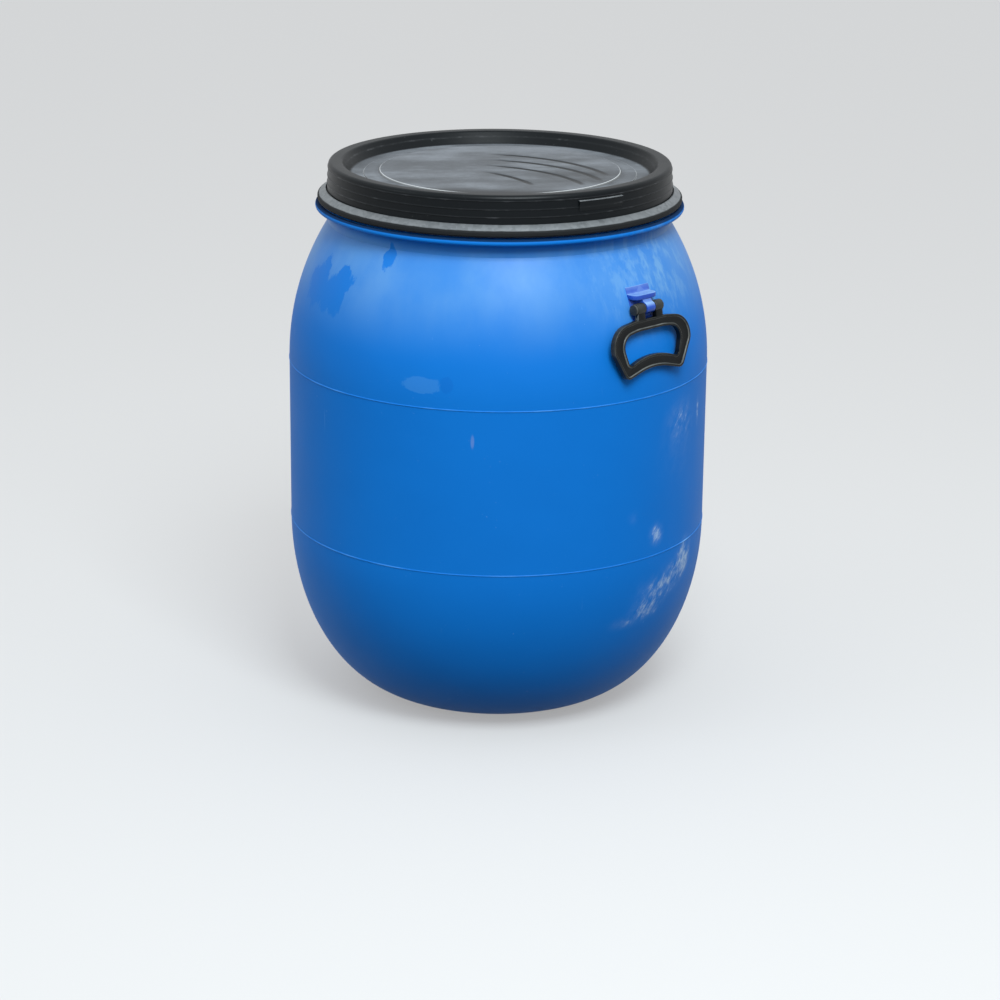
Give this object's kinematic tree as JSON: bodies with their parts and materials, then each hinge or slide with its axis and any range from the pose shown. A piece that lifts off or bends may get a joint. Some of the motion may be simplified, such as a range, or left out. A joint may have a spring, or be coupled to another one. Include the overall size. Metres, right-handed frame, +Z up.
{
  "type": "open-head plastic drum",
  "caption": "Round-shouldered plastic drum with a lift-off dished lid, a steel lever closing ring and a swing handle on each side.",
  "frame": {"origin": "centre of the drum's base, on the floor", "axes": "+Z up along the drum's axis, +X towards the right handle, -X towards the left handle, +Y towards the closing ring's lever latch"},
  "size_m": [0.599, 0.5842, 0.756],
  "materials": {
    "blue_plastic": "blow-moulded blue polyethylene, lightly weathered, with scuffs and chalky stains",
    "violet_plastic": "injection-moulded deep blue polyethylene",
    "pin_plastic": "black moulded plastic",
    "handle_plastic": "black moulded plastic with dust in the recesses and worn edges",
    "lid_plastic": "black moulded polyethylene, faded to a soft grey sheen on top",
    "gasket_rubber": "dark foam rubber",
    "ring_steel": "galvanised rolled steel, bright on the upper leg and stained on the web",
    "bracket_steel": "zinc-plated pressed steel",
    "rivet_steel": "zinc-plated steel",
    "lever_steel": "zinc-plated pressed steel",
    "wire_steel": "zinc-plated drawn wire"
  },
  "bodies": {
    "drum": {"drum_body": "blue_plastic", "handle_lug_right": "violet_plastic", "handle_lug_left": "violet_plastic", "handle_pin_right": "pin_plastic", "handle_pin_left": "pin_plastic"},
    "right_handle": {"handle_right": "handle_plastic"},
    "left_handle": {"handle_left": "handle_plastic"},
    "lid": {"lid": "lid_plastic", "lid_gasket": "gasket_rubber"},
    "closing_ring": {"ring_band": "ring_steel", "fulcrum_bracket": "bracket_steel", "catch_bracket": "bracket_steel", "ring_rivets": "rivet_steel", "lever_pin": "rivet_steel"},
    "ring_lever": {"lever": "lever_steel"},
    "ring_bail": {"bail_link": "wire_steel"}
  },
  "joints": [
    {"name": "right_handle_swing", "type": "hinge", "parent": "drum", "child": "right_handle", "pos_m": [0.28095, 0, 0.601], "axis": [0, -1, 0], "range_deg": [0, 100]},
    {"name": "left_handle_swing", "type": "hinge", "parent": "drum", "child": "left_handle", "pos_m": [-0.28095, 0, 0.601], "axis": [0, 1, 0], "range_deg": [0, 100]},
    {"name": "lid_lift", "type": "slide", "parent": "drum", "child": "lid", "axis": [0, 0, 1], "range_m": [0, 0.2]},
    {"name": "ring_lift", "type": "slide", "parent": "lid", "child": "closing_ring", "axis": [0, 0, 1], "range_m": [0, 0.12], "deforming": ["ring_band"]},
    {"name": "lever_swing", "type": "hinge", "parent": "closing_ring", "child": "ring_lever", "pos_m": [-0.022, 0.2635, 0.70737], "axis": [0, 0, -1], "range_deg": [0, 150]},
    {"name": "bail_swing", "type": "hinge", "parent": "ring_lever", "child": "ring_bail", "pos_m": [-0.0398, 0.257, 0.70737], "axis": [0, 0, -1], "range_deg": [-150, 0]}
  ],
  "couplings": [
    {"joint": "bail_swing", "follows": "lever_swing", "ratio": -1}
  ]
}
